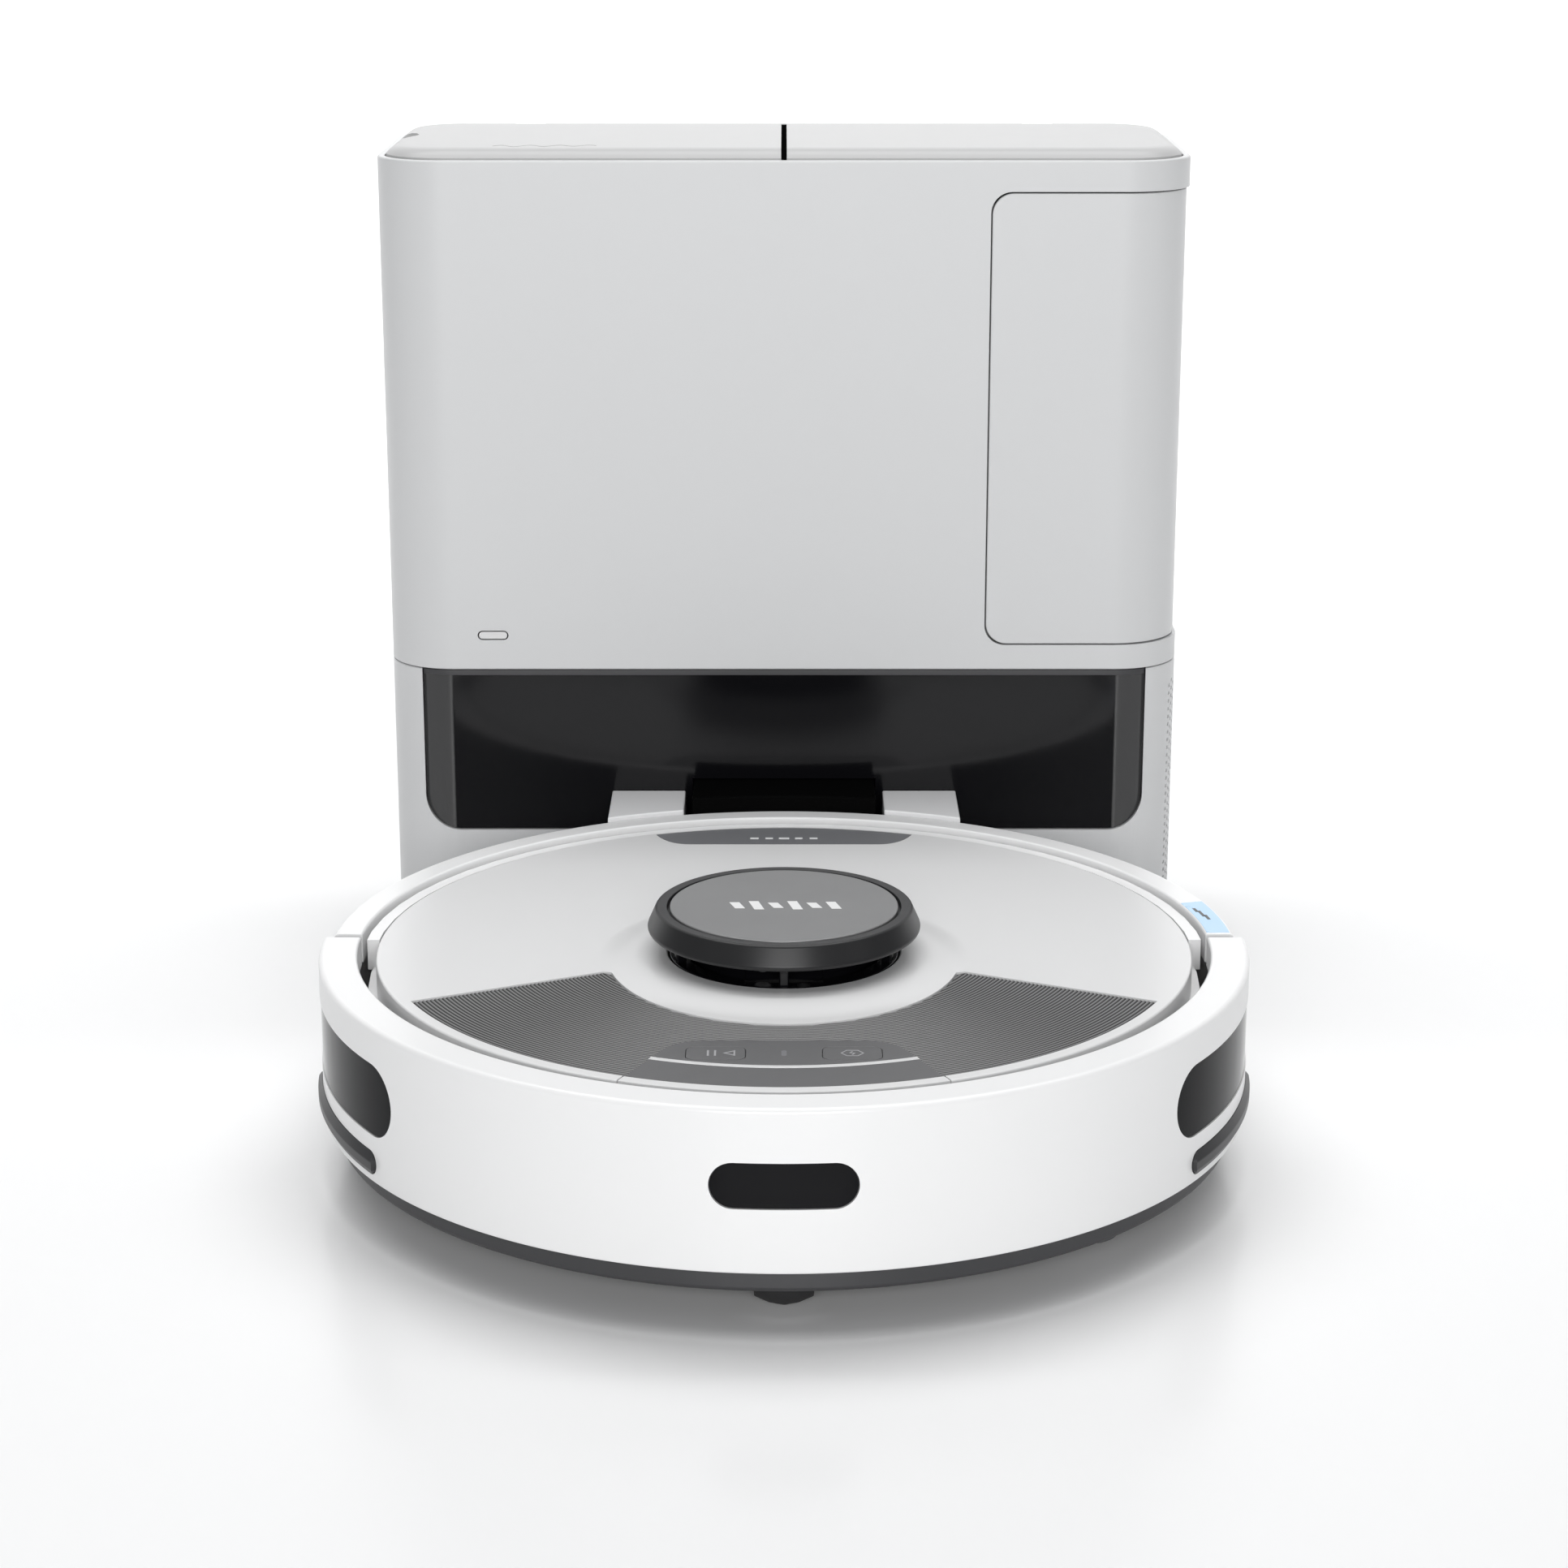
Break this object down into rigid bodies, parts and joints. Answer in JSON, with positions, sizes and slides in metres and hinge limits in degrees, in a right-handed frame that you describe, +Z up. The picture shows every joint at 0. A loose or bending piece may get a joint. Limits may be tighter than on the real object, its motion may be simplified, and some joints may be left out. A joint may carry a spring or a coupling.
{
  "type": "robot vacuum",
  "caption": "Disc-shaped robot vacuum with a laser turret and sprung bumper, parked in a tall self-emptying charging station with a lift-up lid and pull-out dust box.",
  "frame": {"origin": "Middle of the footprint of the robot and its station together, on the floor.", "axes": "+Z is up. The robot faces -Y and drives out along -Y. The station stands behind it at +Y. +X is to the right when facing the station's front."},
  "size_m": [0.3436, 0.492, 0.3487],
  "materials": {
    "white_shell": "satin",
    "station_shell": "satin",
    "smoke_plastic": "fine matte",
    "charcoal_plastic": "satin",
    "gloss_black": "high gloss",
    "rubber": "matte",
    "inner_plastic": "matte",
    "circuit_board": "matte",
    "contact_metal": "brushed",
    "frosted_light": "frosted",
    "blue_label": "gloss film",
    "filter_cloth": "pleated"
  },
  "bodies": {
    "station": {"station_base": "charcoal_plastic", "station_foot_front": "rubber", "station_foot_rear": "rubber", "station_lower_shell": "station_shell", "station_upper_shell": "station_shell", "station_frame": "inner_plastic", "station_fascia": "gloss_black", "side_vent": "station_shell", "evac_nozzle": "rubber", "evac_duct": "inner_plastic", "guide_block_right": "station_shell", "guide_block_left": "station_shell", "charge_contact_left": "contact_metal", "charge_contact_right": "contact_metal", "station_motor": "inner_plastic", "filter_cassette": "filter_cloth", "power_board": "circuit_board", "power_inlet": "rubber", "status_light": "frosted_light", "lid_hinge_left": "inner_plastic", "lid_hinge_right": "inner_plastic"},
    "lid": {"station_lid": "white_shell", "lid_strip": "gloss_black"},
    "dust_box": {"dust_door": "station_shell", "dust_cup": "smoke_plastic"},
    "robot": {"robot_chassis": "charcoal_plastic", "robot_rear_shell": "white_shell", "robot_deck": "white_shell", "top_cover": "white_shell", "ribbed_panel": "smoke_plastic", "key_panel": "smoke_plastic", "light_bar": "frosted_light", "front_trim": "white_shell", "rear_label": "smoke_plastic", "side_tab": "blue_label", "turret_base": "gloss_black", "turret_ring": "charcoal_plastic", "turret_disc": "smoke_plastic", "main_board": "circuit_board", "battery_pack": "inner_plastic", "suction_fan": "inner_plastic", "dust_bin": "white_shell", "brush_housing": "charcoal_plastic"},
    "bumper": {"bumper": "white_shell", "front_window": "gloss_black", "side_window_right": "gloss_black", "side_window_left": "gloss_black", "guard_strip_right": "rubber", "guard_strip_left": "rubber"},
    "start_key": {"start_button": "smoke_plastic"},
    "home_key": {"home_button": "smoke_plastic"},
    "laser_rotor": {"lidar_rotor": "gloss_black"},
    "drive_right": {"drive_unit_right": "charcoal_plastic"},
    "drive_left": {"drive_unit_left": "charcoal_plastic"},
    "wheel_right": {"drive_wheel_right": "rubber"},
    "wheel_left": {"drive_wheel_left": "rubber"},
    "caster_swivel": {"caster_fork": "charcoal_plastic"},
    "caster_roller": {"caster_wheel": "rubber"},
    "main_brush": {"brush_roll": "rubber"},
    "corner_brush": {"side_brush": "rubber"}
  },
  "joints": [
    {"name": "lid_hinge", "type": "hinge", "parent": "station", "child": "lid", "pos_m": [0, 0.238, 0.3448], "axis": [-1, 0, 0], "range_deg": [0, 95]},
    {"name": "dust_box_slide", "type": "slide", "parent": "station", "child": "dust_box", "axis": [1, 0, 0], "range_m": [0, 0.14]},
    {"name": "undock_slide", "type": "slide", "parent": "station", "child": "robot", "axis": [0, -1, 0], "range_m": [0, 0.28]},
    {"name": "bumper_press", "type": "slide", "parent": "robot", "child": "bumper", "axis": [0, 1, 0], "range_m": [0, 0.003], "stiffness_N_per_m": 400},
    {"name": "start_press", "type": "slide", "parent": "robot", "child": "start_key", "axis": [0, 0, -1], "range_m": [0, 0.0008], "stiffness_N_per_m": 500},
    {"name": "home_press", "type": "slide", "parent": "robot", "child": "home_key", "axis": [0, 0, -1], "range_m": [0, 0.0008], "stiffness_N_per_m": 500},
    {"name": "laser_spin", "type": "hinge", "parent": "robot", "child": "laser_rotor", "pos_m": [0, -0.089, 0.08], "axis": [0, 0, 1], "continuous": true},
    {"name": "suspension_right", "type": "hinge", "parent": "robot", "child": "drive_right", "pos_m": [0.109, -0.034, 0.044], "axis": [-1, 0, 0], "range_deg": [-8, 7], "stiffness_Nm_per_rad": 1.5},
    {"name": "suspension_left", "type": "hinge", "parent": "robot", "child": "drive_left", "pos_m": [-0.109, -0.034, 0.044], "axis": [-1, 0, 0], "range_deg": [-8, 7], "stiffness_Nm_per_rad": 1.5},
    {"name": "wheel_spin_right", "type": "hinge", "parent": "drive_right", "child": "wheel_right", "pos_m": [0.127, -0.076, 0.032], "axis": [1, 0, 0], "continuous": true},
    {"name": "wheel_spin_left", "type": "hinge", "parent": "drive_left", "child": "wheel_left", "pos_m": [-0.127, -0.076, 0.032], "axis": [1, 0, 0], "continuous": true},
    {"name": "caster_turn", "type": "hinge", "parent": "robot", "child": "caster_swivel", "pos_m": [0, -0.21328, 0.028], "axis": [0, 0, 1], "continuous": true},
    {"name": "caster_roll", "type": "hinge", "parent": "caster_swivel", "child": "caster_roller", "pos_m": [0, -0.21728, 0.013], "axis": [1, 0, 0], "continuous": true},
    {"name": "main_brush_spin", "type": "hinge", "parent": "robot", "child": "main_brush", "pos_m": [0, -0.074, 0.0225], "axis": [1, 0, 0], "continuous": true},
    {"name": "corner_brush_spin", "type": "hinge", "parent": "robot", "child": "corner_brush", "pos_m": [0.10515, -0.17068, 0.012], "axis": [0, 0, 1], "continuous": true}
  ]
}
